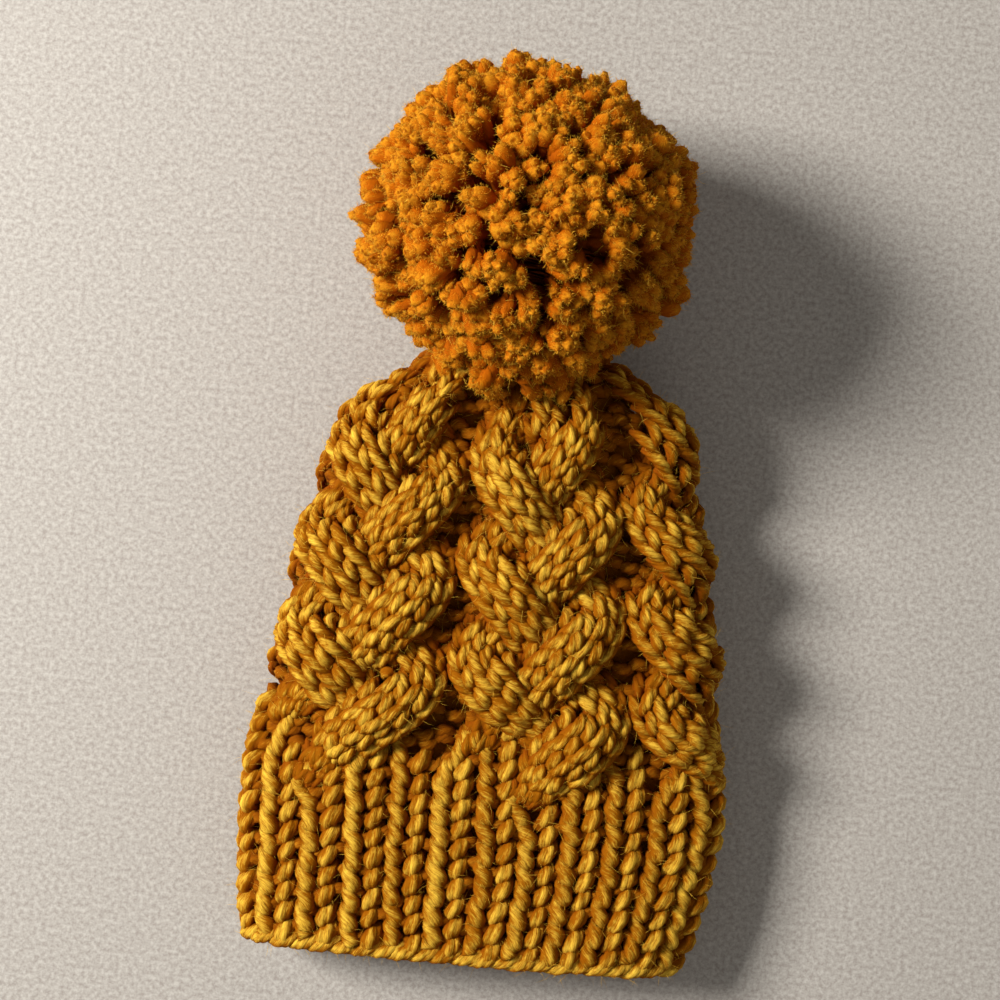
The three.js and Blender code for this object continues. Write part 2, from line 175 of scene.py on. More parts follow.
class Yarns:
    """Collects plied yarn tubes and turns them into one mesh."""

    def __init__(self):
        self.parts = []

    def add(self, points, normals, radius, sides=12, turn=17.0, depth=0.20, tone=None, bare=1.0,
            facing=0.45):
        """points and normals are (count, rings, 3); radius, and how unhidden the yarn is (less
        gives painted shade), per ring.

        turn is the length of one turn of the plies and depth the depth of the grooves between
        them. tone is each yarn's place in the range of dye, and facing is how much darker a
        yarn's underside is than its top, as painted shade.
        """
        points, normals = np.asarray(points, float), np.asarray(normals, float)
        if points.ndim == 2:
            points, normals = points[None], normals[None]
        count, rings = points.shape[:2]
        radius = np.broadcast_to(np.asarray(radius, float), (count, rings))
        tangent = unit(np.gradient(points, axis=1))
        out = unit(normals - (normals * tangent).sum(-1, keepdims=True) * tangent)
        side = np.cross(tangent, out)
        step = np.linalg.norm(np.diff(points, axis=1), axis=-1)
        run = np.concatenate([np.zeros((count, 1)), np.cumsum(step, 1)], 1)
        start, waver = rng.uniform(0, TAU, (2, count, 1))
        twist = start - run * TAU / turn + TWIST_WAVER * np.sin(run * 0.31 + waver)
        local = np.arange(sides) * TAU / sides
        theta = local + twist[..., None]
        lump = rng.uniform(0, TAU, (len(SWELLS), count, 1, PLIES))
        strand = (np.arange(sides) * PLIES / sides + 0.5).astype(int) % PLIES
        swell = sum(size * np.sin(run[..., None] * pace + lump[k][..., strand])
                    for k, (size, pace) in enumerate(SWELLS))
        ply = np.abs(np.cos(local * PLIES / 2)) ** PLY_FULLNESS
        reach = radius[..., None] * (1 - depth + depth * ply * (1 + swell) + 0.5 * swell * depth)
        bare = np.broadcast_to(np.asarray(bare, float), (count, rings))[..., None]
        # painted light and shade: each yarn is lighter on the side facing out and darker
        # underneath, times the painted shade of tucked and hidden parts
        painted_light = np.clip(1 - facing + facing * np.cos(theta), 0, 1) * bare
        ring = (np.cos(theta)[..., None] * out[..., None, :]
                + np.sin(theta)[..., None] * side[..., None, :])
        verts = points[..., None, :] + ring * reach[..., None]
        tone = rng.uniform(0, 1, count) if tone is None else np.broadcast_to(tone, count)
        offset = rng.uniform(0, 900, (count, 1, 1))
        fibre = np.stack([
            np.cos(local) * radius[..., None], np.sin(local) * radius[..., None],
            np.broadcast_to((run[..., None] + offset) * STREAK_STRETCH, theta.shape)], -1)
        ends = np.stack([points[:, 0] - tangent[:, 0] * radius[:, :1] * END_REACH,
                         points[:, -1] + tangent[:, -1] * radius[:, -1:] * END_REACH], 1)
        self._store(verts, ends, painted_light, fibre, tone)

    def _store(self, verts, ends, painted_light, fibre, tone):
        count, rings, sides = verts.shape[:3]
        body = rings * sides
        per = body + 2
        r = np.arange(rings - 1)[:, None] * sides
        k = np.arange(sides)[None]
        k1 = (k + 1) % sides
        quads = np.stack([r + k, r + k1, r + sides + k1, r + sides + k], -1).reshape(-1, 4)
        k, k1 = k[0], k1[0]
        last = (rings - 1) * sides
        tris = np.concatenate([
            np.stack([np.full(sides, body), k1, k], -1),
            np.stack([np.full(sides, body + 1), last + k, last + k1], -1)])
        shift = (np.arange(count) * per)[:, None, None]
        all_verts = np.concatenate([verts.reshape(count, body, 3), ends], 1)
        all_painted_light = np.concatenate([painted_light.reshape(count, body),
                                    np.full((count, 2), END_PAINTED_LIGHT)], 1)
        all_fibre = np.concatenate([fibre.reshape(count, body, 3), np.zeros((count, 2, 3))], 1)
        self.parts.append((
            all_verts.reshape(-1, 3), (quads[None] + shift).reshape(-1, 4),
            (tris[None] + shift).reshape(-1, 3), all_painted_light.ravel(), all_fibre.reshape(-1, 3),
            np.repeat(tone, per)))

    def mesh(self, name, lay=True):
        base = 0
        stacks = [[] for _ in range(6)]
        for verts, quads, tris, painted_light, fibre, tone in self.parts:
            for store, item in zip(stacks, (verts, quads + base, tris + base, painted_light, fibre, tone)):
                store.append(item)
            base += len(verts)
        verts, quads, tris, painted_light, fibre, tone = (np.concatenate(s) for s in stacks)
        verts = settle(verts) if lay else verts
        return make_mesh(name, verts, quads, tris, {"painted_light": painted_light, "tone": tone}, fibre)


def make_mesh(name, verts, quads, tris, values, fibre=None):
    mesh = bpy.data.meshes.new(name)
    mesh.vertices.add(len(verts))
    mesh.vertices.foreach_set("co", (verts * MM).astype(np.float32).ravel())
    loops = np.concatenate([quads.ravel(), tris.ravel()]).astype(np.int32)
    starts = np.concatenate([np.arange(len(quads)) * 4, len(quads) * 4 + np.arange(len(tris)) * 3])
    mesh.loops.add(len(loops))
    mesh.loops.foreach_set("vertex_index", loops)
    mesh.polygons.add(len(starts))
    mesh.polygons.foreach_set("loop_start", starts.astype(np.int32))
    mesh.update(calc_edges=True)
    mesh.shade_smooth()
    for key, data in values.items():
        mesh.attributes.new(key, "FLOAT", "POINT").data.foreach_set(
            "value", data.astype(np.float32))
    if fibre is not None:
        mesh.attributes.new("fibre", "FLOAT_VECTOR", "POINT").data.foreach_set(
            "vector", fibre.astype(np.float32).ravel())
    piece = bpy.data.objects.new(name, mesh)
    bpy.context.scene.collection.objects.link(piece)
    return piece


# ---------------------------------------------------------------- ribbing and cast-on edge
RIB_START = 0.32            # place of the first pair, as a part of a pair
WANDER_LENGTHS = (9.0, 21.0, 47.0)
ROPE_ASIDE, BEAD_ASIDE = -3.9, 4.3      # from the middle of a pair to its rope and its beads
ROPE_LOW, ROPE_STEP = 2.0, 1.1
ROPE_RADIUS, ROPE_HEIGHT = 3.6, 1.6
ROPE_BEND = 8.0             # furthest that a rope leans over to its column of the plait
BEAD_RINGS = 10
BEAD_HALF = 5.4             # half the length of a bead
BEAD_ARCH = 7.4
BEAD_RADIUS = 3.15
BUMP_RADIUS, BUMP_ARCH = 2.9, 2.4
# Outer and inner layer of the cast-on edge: height, arch, and which way its stitches slant.
CAST_ON_LAYERS = ((-0.8, 3.0, 1.0), (-7.4, -2.4, -1.0))
# Yarn between the two layers: station, height, radius and number of rings.
CAST_ON_CORE = (1.6, -4.1, 3.5, 361)


def wander(count, size):
    """A smooth sideways drift for each of count columns, as a function of station."""
    amount = rng.uniform(-size, size, (count, 3))
    phase = rng.uniform(0, TAU, (count, 3))

    def drift(index, station):
        waves = [amount[index, k] * np.sin(station / w + phase[index, k])
                 for k, w in enumerate(WANDER_LENGTHS)]
        return sum(waves)
    return drift


def rib_turn(pair):
    return (pair + RIB_START) / RIB_PAIRS


def bead_path(centre, lean, turn, lift):
    """Short arched stitch legs: centre station, turn and lift are arrays, one value per leg."""
    t = np.linspace(-1, 1, BEAD_RINGS)[None]
    station = centre[:, None] + BEAD_HALF * t
    across = turn[:, None] + lean * t / girth_at(centre)[:, None]
    height = lift[:, None] + BEAD_ARCH * (np.cos(t * 1.45) - 0.72) / 0.28 * 0.36
    return on_hat(station, across, height)


def rib_beads(yarns, wobble):
    """Separate oval legs that stand between the rib's ropes, row by row."""
    rows = np.arange(3.5, RIB_TOP + 10, ROW)
    for pair in range(RIB_PAIRS):
        station = rows + rng.uniform(-1.3, 1.3) + rng.uniform(-0.6, 0.6, len(rows))
        station = station[: len(station) - rng.integers(0, 3)]
        across = rib_turn(pair) + (BEAD_ASIDE + wobble(pair, station)) / girth_at(station)
        lift = 0.1 + rng.uniform(-0.6, 0.5, len(station))
        lean = rng.uniform(2.6, 3.9)
        points, normals = bead_path(station, lean, across, lift)
        t = np.linspace(-1, 1, BEAD_RINGS)
        shape = 0.62 + 0.42 * np.cos(t * 1.35)
        size = BEAD_RADIUS * rng.uniform(0.86, 1.1, (len(station), 1))
        # painted shade towards the tucked-in ends of each bead
        end_shading = 1 - 0.65 * np.abs(t) ** STITCH_END_SHADE
        yarns.add(points, normals, size * shape, sides=16, turn=24.0, bare=end_shading)


def purl_bumps(yarns, stations, turns, low, half):
    """Crosswise bumps of reverse stitches, seen down in the valleys."""
    t = np.linspace(-1, 1, 7)[None]
    count = len(stations)
    sag = rng.choice([-1.0, 1.0], (count, 1)) * rng.uniform(0.8, 2.4, (count, 1))
    station = stations[:, None] + sag * (1 - t * t)
    across = turns[:, None] + half * t / girth_at(stations)[:, None]
    height = low + BUMP_ARCH * (1 - t * t) + rng.uniform(-0.3, 0.3, (count, 1))
    points, normals = on_hat(station, across, height)
    size = BUMP_RADIUS * (0.75 + 0.25 * (1 - t * t))
    # painted shade: bumps down in the valleys are all somewhat darker
    yarns.add(points, normals, size, sides=8, turn=14.0, bare=0.75)


def cast_on_chain():
    """Slanted, overlapping stitches that wrap over the rim, outside and inside."""
    yarns = Yarns()
    count = RIB_PAIRS * 2
    t = np.linspace(-1, 1, 12)[None]
    for height, arch, lean in CAST_ON_LAYERS:
        turn = (np.arange(count) + rng.uniform(-0.12, 0.12, count))[:, None] / count
        reach = 7.6 + rng.uniform(-1, 1, (count, 1))
        across = turn + lean * reach * t / girth_at(0)
        station = 1.1 + 2.6 * t + rng.uniform(-0.3, 0.3, (count, 1)) - 0.9 * (1 - t * t)
        points, normals = on_hat(station, across, height + arch * (0.9 - t * t))
        size = (2.75 + 0.35 * (np.arange(count)[:, None] % 2)) * (0.52 + 0.5 * np.cos(t * 1.3))
        yarns.add(points, normals, size, sides=14, turn=16.0, depth=0.2)
    station, height, radius, rings = CAST_ON_CORE
    points, normals = on_hat(station, np.linspace(0, 1, rings), height)
    yarns.add(points, normals, radius, sides=12)
    return yarns.mesh("cast_on_chain")


# ---------------------------------------------------------------- plaited cables
# By plait, from the middle of the front on round the right side.
PLAIT_CENTRES = [0.054, 0.256, 0.452, 0.650, 0.853]     # as parts of the girth
LEFT_EXTREME = [156.0, 139.0, 150.0, 132.0, 164.5]      # station of the first strand's far swing
PERIOD = 114.0              # length of one full plait of three strands
SWING = 19.6
LIFT = 5.8                  # rise of a strand as it crosses over
SLIM = 335.0                # girth at which the plaits have their full width
STRAND_PITCH = 7.9          # between a strand's columns of stitches
STRAND_CROWN, STRAND_HALF, STRAND_SUNK = 9.5, 11.4, 2.6     # a strand's rounded cross-section
LEG_PITCH = 9.0
LEG_APART = 2.0
LEG_RADIUS = 2.65
STRAIGHTEN, STRAIGHTEN_OVER, STRAIGHTEN_BY = 199.0, 7.0, 0.55   # the swing slows from here up
FADE_FROM, FADE_OVER = 204.0, 30.0      # the plaits sink into the crown
MIDDLE_TOP, SIDE_TOP = 233.0, 219.0     # where a strand's middle and side columns end
PLAIT_FOOT = 88.0
OVER_ENDS, UNDER_ENDS = (64.0, 78.0), (82.0, 88.0)      # lower ends at a rising, falling swing
OVER_HEIGHT = 2.0           # a strand higher than this is the one crossing over
ROPE_LEVEL = 0.8            # height where plait and rib meet


def strand_state(plait, strand, station):
    """Sideways swing in mm, its slope, and height of a strand's centre line."""
    late = STRAIGHTEN_OVER * np.log1p(np.exp((station - STRAIGHTEN) / STRAIGHTEN_OVER))
    passed = station - STRAIGHTEN_BY * late - LEFT_EXTREME[plait]
    phase = TAU * (passed + strand * PERIOD / 3) / PERIOD - TAU / 4
    scale = girth_at(station) / SLIM
    swing = SWING * (np.sin(phase) + 0.10 * np.sin(3 * phase + math.pi)) * scale
    slope = SWING * scale * TAU / PERIOD * (np.cos(phase) - 0.30 * np.cos(3 * phase))
    return swing, slope, 0.4 + LIFT * np.sin(2 * phase)


def plait_column(plait, strand, across, station):
    """Path of one column of stitches, offset sideways from its strand's centre line."""
    swing, slope, height = strand_state(plait, strand, station)
    lean = np.arctan(slope)
    gather = 0.45 + 0.55 * smooth_step((station - lower_end(plait, strand) + 2) / 20)
    scale = np.clip(girth_at(station) / SLIM, 0.25, 1.05) * gather
    offset = across * scale * (0.93 + 0.07 * np.cos(lean))
    where = station - offset * np.sin(lean)
    turn = PLAIT_CENTRES[plait] + (swing + offset * np.cos(lean)) / girth_at(station)
    crown = STRAND_CROWN * np.sqrt(np.maximum(1 - (across / STRAND_HALF) ** 2, 0)) - STRAND_SUNK
    fade = smooth_step((station - FADE_FROM) / FADE_OVER)
    past = station - lower_end(plait, strand)
    rise = 0.62 + 0.38 * smooth_step((past - 4) / 26)
    full = (height + crown) * rise * (1 - 0.45 * fade) - 1.2 * fade
    return where, turn, ROPE_LEVEL + (full - ROPE_LEVEL) * smooth_step((past + 6) / 18)


def rib_partners(plait):
    """Which rib pairs run up into which columns of this plait."""
    centre = PLAIT_CENTRES[plait]
    pairs = sorted(range(RIB_PAIRS), key=lambda p: abs((rib_turn(p) - centre + 0.5) % 1 - 0.5))[:5]
    pairs.sort(key=lambda p: (rib_turn(p) - centre + 0.5) % 1)
    columns = [(s, w) for s in range(3) for w in (-1, 0, 1)]

    def place(column):
        end = lower_end(plait, column[0])
        _, turn, _ = plait_column(plait, column[0], column[1] * STRAND_PITCH, end + 4)
        return float(turn)
    columns.sort(key=place)
    return {columns[k]: pair for k, pair in zip((0, 2, 4, 6, 8), pairs)}


def rope_column(plait, column, pair, wobble):
    """A rib's rope, from the cast-on edge up to where it runs under its column of the plait."""
    strand, across = column[0], column[1] * STRAND_PITCH
    end = lower_end(plait, strand)
    station = np.arange(ROPE_LOW, end + rng.uniform(9, 14), ROPE_STEP)
    where, turn, height = plait_column(plait, strand, across, station)
    row = TAU * station / ROW + rng.uniform(0, TAU)
    up = smooth_step((station - end + 17) / 22)
    sway = 0.7 * np.sin(row + 1) + 0.5 * np.sin(0.43 * row + rng.uniform(0, TAU))
    rib = rib_turn(pair) + (ROPE_ASIDE + wobble(pair, station) + sway) / girth_at(station)
    rib += round(float(turn[0] - rib[0]))
    rib_height = ROPE_HEIGHT + 0.7 * np.sin(row) + rng.uniform(-0.9, 0.7)
    reach = ROPE_BEND / girth_at(station)
    turn = rib + np.clip(turn - rib, -reach, reach) * up
    height = rib_height + (np.minimum(height, 3.5) - rib_height) * up
    where = station + (where - station) * up
    radius = (ROPE_RADIUS + 0.36 * np.sin(row + 2) + rng.uniform(-0.25, 0.2)) * (1 - 0.2 * up)
    tuck = smooth_step((station - station[-1] + 10) / 10)
    points, normals = on_hat(where, turn, height - 5.0 * tuck)
    # the last value is painted shade where the rope tucks under the plait
    return points, normals, radius * (1 - 0.3 * tuck), 1 - 0.7 * tuck


def lower_end(plait, strand):
    """Station where a strand's V stitches give way to ribs: lowest for the one crossing over."""
    _, slope, height = strand_state(plait, strand, PLAIT_FOOT)
    rising, falling = OVER_ENDS if height > OVER_HEIGHT else UNDER_ENDS
    return rising if slope > 0 else falling


def strand_legs(yarns, plait, column, side):
    """Slanted legs of the V stitches in one column of a strand; side is -1 left or 1 right."""
    strand, across = column[0], column[1] * STRAND_PITCH + side * LEG_APART
    top = MIDDLE_TOP if column[1] == 0 else SIDE_TOP
    fine = np.arange(lower_end(plait, strand), top, 0.5)
    where, turn, _ = plait_column(plait, strand, across, fine)
    points, _ = on_hat(where, turn, 0.0)
    run = np.concatenate([[0], np.cumsum(np.linalg.norm(np.diff(points, axis=0), axis=1))])
    count = int(run[-1] / LEG_PITCH)
    shift = 0.25 + 0.22 * column[1] + rng.uniform(-0.07, 0.07, count)
    centres = np.interp((np.arange(count) + shift) * LEG_PITCH, run, fine)
    stretch = np.clip(np.interp(centres, fine, np.gradient(fine, run)), 0.4, 1.1)
    half = rng.uniform(6.2, 6.8) * stretch
    t = np.linspace(-1, 1, 12)[None]
    station = centres[:, None] + half[:, None] * t
    where, turn, height = plait_column(plait, strand, across, station)
    turn = turn + side * rng.uniform(1.5, 2.3, (count, 1)) * t / girth_at(station)
    arch = 2.6 - 3.2 * np.abs(t) ** 1.6 - 1.6 * np.maximum(-t, 0) ** 3
    jog = rng.uniform(-0.45, 0.45, (count, 1))
    points, normals = on_hat(where, turn, height + arch + jog - 1.6)
    shape = 0.46 + 0.60 * np.cos(np.clip((t + 0.06) * 1.32, -1.5, 1.5))
    size = LEG_RADIUS * rng.uniform(0.9, 1.1, (count, 1)) * (girth_at(station) / SLIM) ** 0.4
    # painted shade on legs that sit low, and towards their tucked-in ends
    depth_shading = 0.25 + 0.75 * smooth_step((height + arch + 2.0) / 8.0)
    yarns.add(points, normals, size * shape, sides=16, turn=21.0,
              bare=(1 - 0.7 * np.abs(t) ** STITCH_END_SHADE) * depth_shading)


def plait_piece(plait, wobble):
    yarns = Yarns()
    partners = rib_partners(plait)
    for strand in range(3):
        for side in (-1, 0, 1):
            column = (strand, side)
            if column in partners:
                points, normals, radius, bare = rope_column(
                    plait, column, partners[column], wobble)
                yarns.add(points, normals, radius, sides=20, turn=15.5, bare=bare)
            strand_legs(yarns, plait, column, -1)
            strand_legs(yarns, plait, column, 1)
    return yarns.mesh(f"cable_plait_{plait + 1}")


# ---------------------------------------------------------------- ground, crown and lining
LINING_COLUMNS = 240
LINING_ROW = 2.5
BACK_ROPE_DEPTH, BACK_ROPE_RADIUS = -7.3, 2.7


def valley_piece(name, low, high, per_row, depth, half):
    yarns = Yarns()
    for k, station in enumerate(np.arange(low, high, ROW)):
        turns = (np.arange(per_row) + 0.5 * (k % 2) + rng.uniform(-0.1, 0.1, per_row)) / per_row
        purl_bumps(yarns, np.full(per_row, station), turns, depth, half)
    return yarns.mesh(name)


def lining(name, low, high, outer, inner):
    """Closed sheet behind the stitches, so that no light shows through between them."""
    columns = LINING_COLUMNS
    rows = int((high - low) / LINING_ROW)
    s, f = np.meshgrid(np.linspace(low, high, rows), np.arange(columns) / columns, indexing="ij")
    ripple = 0.5 * np.sin(TAU * s / ROW) * np.cos(TAU * f * 50)
    outside, _ = on_hat(s, f, outer + ripple)
    inside, _ = on_hat(s[::-1], f[::-1], inner + ripple[::-1])
    verts = np.concatenate([outside, inside]).reshape(-1, 3)
    total = 2 * rows
    r = np.arange(total)[:, None]
    c = np.arange(columns)[None]
    r1, c1 = (r + 1) % total, (c + 1) % columns
    quads = np.stack([r * columns + c, r * columns + c1, r1 * columns + c1, r1 * columns + c],
                     -1).reshape(-1, 4)
    # painted light held at half: the sheet sits in painted shade
    values = {"painted_light": np.full(len(verts), 0.5), "tone": np.full(len(verts), 0.4)}
    return make_mesh(name, settle(verts), quads, np.zeros((0, 3), int), values, verts * 0.6)


def inner_ropes():
    """Back of the ribbing, seen through the opening."""
    yarns = Yarns()
    for pair in range(RIB_PAIRS * 2):
        station = np.arange(3.0, RIB_TOP, 1.6)
        row = TAU * station / ROW + rng.uniform(0, TAU)
        turn = (pair + 0.1) / (RIB_PAIRS * 2) + 0.3 * np.sin(row) / girth_at(station)
        points, normals = on_hat(station, turn, BACK_ROPE_DEPTH + 0.5 * np.sin(row))
        yarns.add(points, -normals, BACK_ROPE_RADIUS, sides=10, turn=15.0)
    return yarns.mesh("rib_back_ropes")


def ring_path(centre, radius, axis_up, steps=61):
    """Closed loop of points around an axis."""
    axis = unit(np.asarray(axis_up, float))
    side = unit(np.cross(axis, [0.3, 0.2, 1.0]))
    up = np.cross(side, axis)
    angle = np.linspace(0, TAU, steps)[:, None]
    out = np.cos(angle) * side + np.sin(angle) * up
    return centre + out * radius, out


def line_path(start, end, bow, steps=40):
    t = np.linspace(0, 1, steps)[:, None]
    points = start + (end - start) * t + np.asarray(bow) * np.sin(t * math.pi * 2)
    return points, np.broadcast_to([0.0, 0.0, 1.0], points.shape)


def knot_path(centre, size, steps=90):
    """Overhand knot."""
    t = np.linspace(0, TAU, steps)
    points = np.stack([np.sin(t) + 2 * np.sin(2 * t), -0.9 * np.sin(3 * t),
                       np.cos(t) - 2 * np.cos(2 * t)], -1) * size / 3 + centre
    return points, unit(points - centre)


# ---------------------------------------------------------------- pom
POM_LOW, POM_HIGH = (np.array(corner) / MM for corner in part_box("pom_ball"))
POM_CENTRE = (POM_LOW + POM_HIGH) / 2
POM_SHAPE = np.array([1.045, 0.985, 0.985])
POM_REACH = 57.8            # from the middle to the cut ends
HOLLOW = 35.0               # radius kept free round the gathered crown
STRANDS = 820
POM_PLIES = 3
STRAND_RINGS = 11
STRAND_ROOT = 36.0
CORE_RADIUS = 45.0
TUFTS = 170                 # the cut ends lean together into this many tufts
FULL_SIDE = np.array([-0.75, -0.62, 0.2])       # the pom is fuller here, and under it
SIDE_FULLNESS, UNDER_FULLNESS = 0.045, 0.08
PLY_WIDTH = 0.68            # radius of one ply against that of its strand
CRUMPLE = 0.30
FIBRES_PER_END = 60


def ball_directions(count, jitter):
    k = np.arange(count) + 0.5
    z = 1 - 2 * k / count
    angle = math.pi * (3 - math.sqrt(5)) * k
    flat = np.sqrt(1 - z * z)
    spread = np.stack([np.cos(angle) * flat, np.sin(angle) * flat, z], -1)
    return unit(spread + rng.normal(0, jitter, spread.shape))


def clear_of_crown(points, reach):
    """Strands part round the gathered crown, which sits in a hollow round the tie."""
    away = points - CINCH
    distance = np.linalg.norm(away, axis=-1, keepdims=True)
    push = np.maximum(distance, reach + (distance - reach) * 0.12)
    return CINCH + away / np.maximum(distance, 1e-6) * np.where(distance < reach, push, distance)


def pom_strands():
    """Cut ends of yarn that spring from the tied middle, bent this way and that, and frayed."""
    directions = ball_directions(STRANDS, 0.045)
    tufts = ball_directions(TUFTS, 0.08)
    nearest = tufts[np.argmax(directions @ tufts.T, 1)]
    lean = rng.uniform(-0.35, 0.42, (STRANDS, 1))
    bend = unit(np.cross(directions, rng.normal(size=(STRANDS, 3))))
    bend = bend * rng.uniform(1.0, 13.0, (STRANDS, 1)) + (nearest - directions) * lean * 60
    curl = unit(np.cross(directions, rng.normal(size=(STRANDS, 3))))
    curl = curl * rng.uniform(0.4, 2.4, (STRANDS, 1))
    lumps = (1 + 0.018 * np.sin(directions @ [5, 2, 3] + 1)
             + 0.016 * np.sin(directions @ [-2, 6, 4]))
    lumps = lumps + SIDE_FULLNESS * np.clip(directions @ unit(FULL_SIDE), 0, 1) ** 5
    lumps = lumps + UNDER_FULLNESS * np.clip(-directions[:, 2], 0, 1) ** 3
    reach = POM_REACH * lumps + rng.normal(0, 2.0, STRANDS)
    t = np.sin(np.linspace(0, TAU / 4, STRAND_RINGS))[None, :, None]
    radial = STRAND_ROOT + (reach[:, None, None] - STRAND_ROOT) * t
    path = directions[:, None] * radial + bend[:, None] * t ** 1.7 + curl[:, None] * np.sin(t * 5)
    path = clear_of_crown(POM_CENTRE + path * POM_SHAPE, HOLLOW)
    width = rng.uniform(2.5, 4.2, (STRANDS, 1))
    aside = np.broadcast_to(unit(np.cross(directions, [0.3, 0.5, 0.81]))[:, None], path.shape)
    spin = rng.uniform(0, TAU, (STRANDS, 1)) + 1.6 * t[..., 0]
    # painted shade deep in the pom, painted light towards the cut tips
    bare = np.broadcast_to(0.30 + 0.66 * t[..., 0] ** 3.0, (STRANDS, t.size))
    tone = rng.uniform(0, 1, STRANDS)
    pieces = []
    for k in range(POM_PLIES):
        ply, size = part_ply(path, aside, width, t[..., 0], spin + TAU * k / POM_PLIES)
        yarns = Yarns()
        yarns.add(ply, aside, size, sides=9, depth=0.0, tone=tone, bare=bare, facing=0.0)
        crumple(yarns)
        pieces.append((yarns.mesh(f"pom_yarn_{k + 1}"), ply, size))
    return pieces


def part_ply(path, aside, width, t, spin):
    """One ply of every strand: twisted with the others, and parting from them at the cut end."""
    along = unit(np.gradient(path, axis=1))
    across = np.cross(along, aside)
    spin = spin + rng.uniform(-0.4, 0.4, (len(path), 1))
    free = smooth_step((t - 0.62) / 0.38)
    apart = width * (0.48 + rng.uniform(0.0, 0.60, (len(path), 1)) * free)
    longer = rng.uniform(-3.0, 1.0, (len(path), 1)) * free
    ply = path + ((np.cos(spin) * apart)[..., None] * aside
                  + (np.sin(spin) * apart)[..., None] * across + longer[..., None] * along)
    tip = np.clip((t - 0.84) / 0.16, 0, 1)
    bloom = rng.uniform(0.1, 0.6, (len(path), 1)) * smooth_step((t - 0.45) / 0.35)
    size = width * PLY_WIDTH * (0.86 + bloom) * np.sqrt(1 - 0.90 * tip ** 2)
    return ply, size


def crumple(yarns):
    """Uneven swellings of felted yarn."""
    for k, part in enumerate(yarns.parts):
        x, y, z = np.moveaxis(part[0], -1, 0)
        push = np.stack([np.sin(2.1 * y + 1.3 * np.sin(1.7 * z)),
                         np.sin(2.3 * z + np.sin(1.9 * x)),
                         np.sin(1.9 * x + 1.2 * np.sin(2.2 * y))], -1)
        fine = np.stack([np.sin(4.7 * z + x), np.sin(5.1 * x + y), np.sin(4.3 * y + z)], -1)
        yarns.parts[k] = (part[0] + CRUMPLE * (push + 0.4 * fine), *part[1:])


def frayed_ends(name, path, size):
    """Short loose fibres all over the cut end of every strand of the pom."""
    along = unit(path[:, -1] - path[:, -4])
    picks = np.repeat(np.arange(len(path)), FIBRES_PER_END)
    total = len(picks)
    back = rng.uniform(0, 1, total) * 5.5
    ring = unit(np.cross(along[picks], rng.normal(size=(total, 3))))
    dome = np.sqrt(np.clip(1 - (1 - back / 3.0).clip(0, 1) ** 2, 0.0, 1))
    width = size[picks, -5] * dome * rng.uniform(0.85, 1.02, total)
    root = path[picks, -1] - along[picks] * (back - 0.3)[:, None] + ring * width[:, None]
    spread = rng.uniform(0.4, 1.6, (total, 1)) * (0.2 + dome[:, None])
    direction = unit(along[picks] * 0.8 + ring * spread + rng.normal(0, 0.35, (total, 3)))
    length = rng.uniform(0.5, 1.0, total) ** 2 * 2.1
    return bristles(name, root, direction, length, rng.uniform(0.08, 0.14, total))


def pom_core():
    """Packed middle of the pom behind the free ends."""
    core = Yarns()
    rows, sides = 40, 64
    t = np.linspace(0.02, 0.98, rows) * math.pi
    points = POM_CENTRE + np.stack([0 * t, -np.cos(t) * CORE_RADIUS, 0 * t], -1)
    core.add(points, np.tile([0.0, 0, 1], (rows, 1)), np.sin(t) * CORE_RADIUS, sides=sides,
             depth=0.0)
    verts, quads, tris, painted_light, fibre, tone = core.parts[0]
    verts = clear_of_crown(verts + 1.1 * np.sin(verts[:, [1, 2, 0]] * 0.9), HOLLOW - 1)
    # no painted light on the core: all of it is in painted shade
    core.parts[0] = (verts, quads, tris, painted_light * 0, fibre, tone)
    return core.mesh("pom_core")


# ---------------------------------------------------------------- loose fibres
FIBRE_CURL = 0.5


def spikes(name, root, direction, length, radius):
    """Thin tapering fibres, each bent once."""
    count = len(root)
    aside = unit(np.cross(direction, rng.normal(size=(count, 3))))
    bow = aside * (length * rng.uniform(-FIBRE_CURL, FIBRE_CURL, count))[:, None]
    middle = root + direction * (length * 0.5)[:, None] + bow * 0.35
    tip = root + direction * length[:, None] + bow * 1.6
    ring = fibre_ring(direction, aside, radius)
    verts = np.concatenate([root[:, None] + ring, middle[:, None] + ring * 0.8, tip[:, None]], 1)
    quads = np.array([[0, 1, 4, 3], [1, 2, 5, 4], [2, 0, 3, 5]])
    tris = np.array([[3, 4, 6], [4, 5, 6], [5, 3, 6], [2, 1, 0]])
    return fibre_mesh(name, verts, quads, tris)


def bristles(name, root, direction, length, radius):
    """Short straight fibres, each a thin closed point."""
    aside = unit(np.cross(direction, rng.normal(size=root.shape)))
    ring = fibre_ring(direction, aside, radius)
    tip = root + direction * length[:, None]
    verts = np.concatenate([root[:, None] + ring, tip[:, None]], 1)
    tris = np.array([[0, 1, 3], [1, 2, 3], [2, 0, 3], [2, 1, 0]])
    return fibre_mesh(name, verts, np.zeros((0, 4), int), tris)


def fibre_ring(direction, aside, radius):
    angle = np.arange(3) * TAU / 3
    second = np.cross(direction, aside)
    around = (np.cos(angle)[None, :, None] * aside[:, None]
              + np.sin(angle)[None, :, None] * second[:, None])
    return around * radius[:, None, None]


def fibre_mesh(name, verts, quads, tris):
    count, each = verts.shape[:2]
    base = (np.arange(count) * each)[:, None, None]
    # loose fibres all get strong painted light
    values = {"painted_light": np.full(count * each, 0.9),
              "tone": np.repeat(rng.uniform(0, 1, count), each)}
    verts = settle(verts.reshape(-1, 3))
    return make_mesh(name, verts, (quads[None] + base).reshape(-1, 4),
                     (tris[None] + base).reshape(-1, 3), values, verts)


